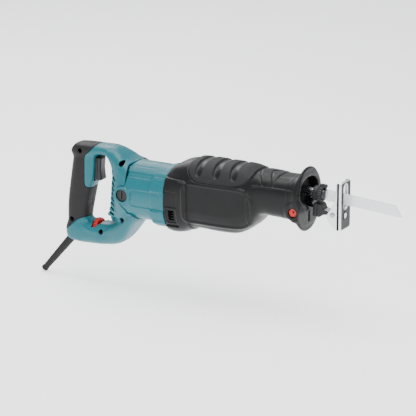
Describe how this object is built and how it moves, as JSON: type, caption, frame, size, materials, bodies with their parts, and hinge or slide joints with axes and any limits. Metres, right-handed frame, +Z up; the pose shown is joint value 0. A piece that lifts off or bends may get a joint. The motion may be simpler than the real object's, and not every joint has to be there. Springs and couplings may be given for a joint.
{
  "type": "reciprocating saw",
  "caption": "Corded reciprocating saw with a D-handle, rubber-covered gear head, pivoting shoe and a straight blade driven by a counterweighted crank.",
  "frame": {"origin": "middle of the bottom face of the bounding box, straight below the middle of the saw's length", "axes": "+X towards the blade tip, +Y to the operator's left, +Z up"},
  "size_m": [0.6546, 0.0968, 0.2474],
  "materials": {
    "teal_plastic": "satin moulded plastic",
    "black_rubber": "soft satin elastomer",
    "black_plastic": "satin",
    "red_plastic": "semi-gloss",
    "cast_aluminium": "die cast",
    "lamination_steel": "stacked lamination edges, varnished",
    "copper": "enamelled copper",
    "carbon": "pressed carbon",
    "bronze": "sintered",
    "machined_steel": "machined",
    "bright_steel": "polished",
    "blade_steel": "pale coated steel",
    "resin_board": "potted electronics"
  },
  "bodies": {
    "root": {"motor_housing": "teal_plastic", "handle_shell_right": "teal_plastic", "handle_shell_left": "teal_plastic", "grip_cover_right": "black_rubber", "grip_cover_left": "black_rubber", "front_boot": "black_rubber", "gear_housing": "cast_aluminium", "gear_housing_cover": "cast_aluminium", "field_core": "lamination_steel", "field_coil_upper": "copper", "field_coil_lower": "copper", "motor_bearing_rear": "machined_steel", "motor_bearing_front": "machined_steel", "brush_holder_right": "bronze", "brush_holder_left": "bronze", "carbon_brush_right": "carbon", "carbon_brush_left": "carbon", "brush_cap_right": "black_plastic", "brush_cap_left": "black_plastic", "gear_bearing": "bronze", "slider_bushing": "bronze", "slider_seal": "black_rubber", "switch_unit": "black_plastic", "speed_controller": "resin_board", "cord_guard": "black_rubber", "cord_clamp": "black_plastic", "handle_screw_1": "machined_steel", "handle_screw_2": "machined_steel", "handle_screw_3": "machined_steel", "handle_screw_4": "machined_steel", "handle_screw_5": "machined_steel", "motor_screw_1": "machined_steel", "motor_screw_2": "machined_steel", "motor_screw_3": "machined_steel", "motor_screw_4": "machined_steel", "cover_screw_1": "machined_steel", "cover_screw_2": "machined_steel", "cover_screw_3": "machined_steel", "cover_screw_4": "machined_steel"},
    "trigger": {"trigger": "black_plastic"},
    "lock_on_button": {"lock_on_button": "black_plastic"},
    "speed_dial": {"speed_dial": "red_plastic"},
    "armature": {"armature_shaft": "machined_steel", "armature_core": "lamination_steel", "commutator": "copper", "cooling_fan": "black_plastic", "bevel_pinion": "machined_steel"},
    "crank": {"crank_gear": "machined_steel", "crank_pin": "machined_steel"},
    "slider": {"slider": "bright_steel", "blade_clamp_body": "bright_steel", "saw_blade": "blade_steel"},
    "counterweight": {"counterweight": "machined_steel"},
    "clamp_sleeve": {"blade_clamp_sleeve": "black_plastic"},
    "shoe_bracket": {"shoe_bracket": "bright_steel", "shoe_bracket_cover": "black_plastic", "shoe_pivot_pin": "machined_steel"},
    "shoe": {"shoe_plate": "bright_steel"},
    "shoe_lock": {"shoe_lock_button": "red_plastic"}
  },
  "joints": [
    {"name": "trigger_pull", "type": "slide", "parent": "root", "child": "trigger", "axis": [-1, 0, 0], "range_m": [0, 0.006], "stiffness_N_per_m": 1500, "springref_m": -0.002},
    {"name": "lock_on_press", "type": "slide", "parent": "root", "child": "lock_on_button", "axis": [0, -1, 0], "range_m": [0, 0.0022], "stiffness_N_per_m": 800, "springref_m": -0.001},
    {"name": "speed_dial_turn", "type": "hinge", "parent": "root", "child": "speed_dial", "pos_m": [-0.2158, 0, 0.0904], "axis": [1, 0, 0], "range_deg": [-120, 120]},
    {"name": "armature_spin", "type": "hinge", "parent": "root", "child": "armature", "pos_m": [-0.0678, 0, 0.1689], "axis": [1, 0, 0], "continuous": true},
    {"name": "crank_spin", "type": "hinge", "parent": "root", "child": "crank", "pos_m": [0.0072, 0, 0.1689], "axis": [0, 0, 1], "continuous": true},
    {"name": "slider_stroke", "type": "slide", "parent": "root", "child": "slider", "axis": [0.9973, 0, -0.0732], "range_m": [-0.024, 0.008]},
    {"name": "counterweight_slide", "type": "slide", "parent": "root", "child": "counterweight", "axis": [1, 0, 0], "range_m": [-0.004, 0.012]},
    {"name": "clamp_sleeve_turn", "type": "hinge", "parent": "slider", "child": "clamp_sleeve", "pos_m": [0.18921, 0, 0.20712], "axis": [0.9973, 0, -0.0732], "range_deg": [0, 60], "stiffness_Nm_per_rad": 0.4, "springref_deg": -11.46},
    {"name": "shoe_slide", "type": "slide", "parent": "root", "child": "shoe_bracket", "axis": [0.9973, 0, -0.0732], "range_m": [-0.008, 0.02]},
    {"name": "shoe_tilt", "type": "hinge", "parent": "shoe_bracket", "child": "shoe", "pos_m": [0.21637, 0, 0.18106], "axis": [0, 1, 0], "range_deg": [-12, 30]},
    {"name": "shoe_lock_press", "type": "slide", "parent": "root", "child": "shoe_lock", "axis": [0, 1, 0], "range_m": [-0.003, 0.003]}
  ],
  "couplings": [
    {"joint": "armature_spin", "follows": "crank_spin", "ratio": 8},
    {"joint": "counterweight_slide", "follows": "slider_stroke", "ratio": -0.5}
  ]
}
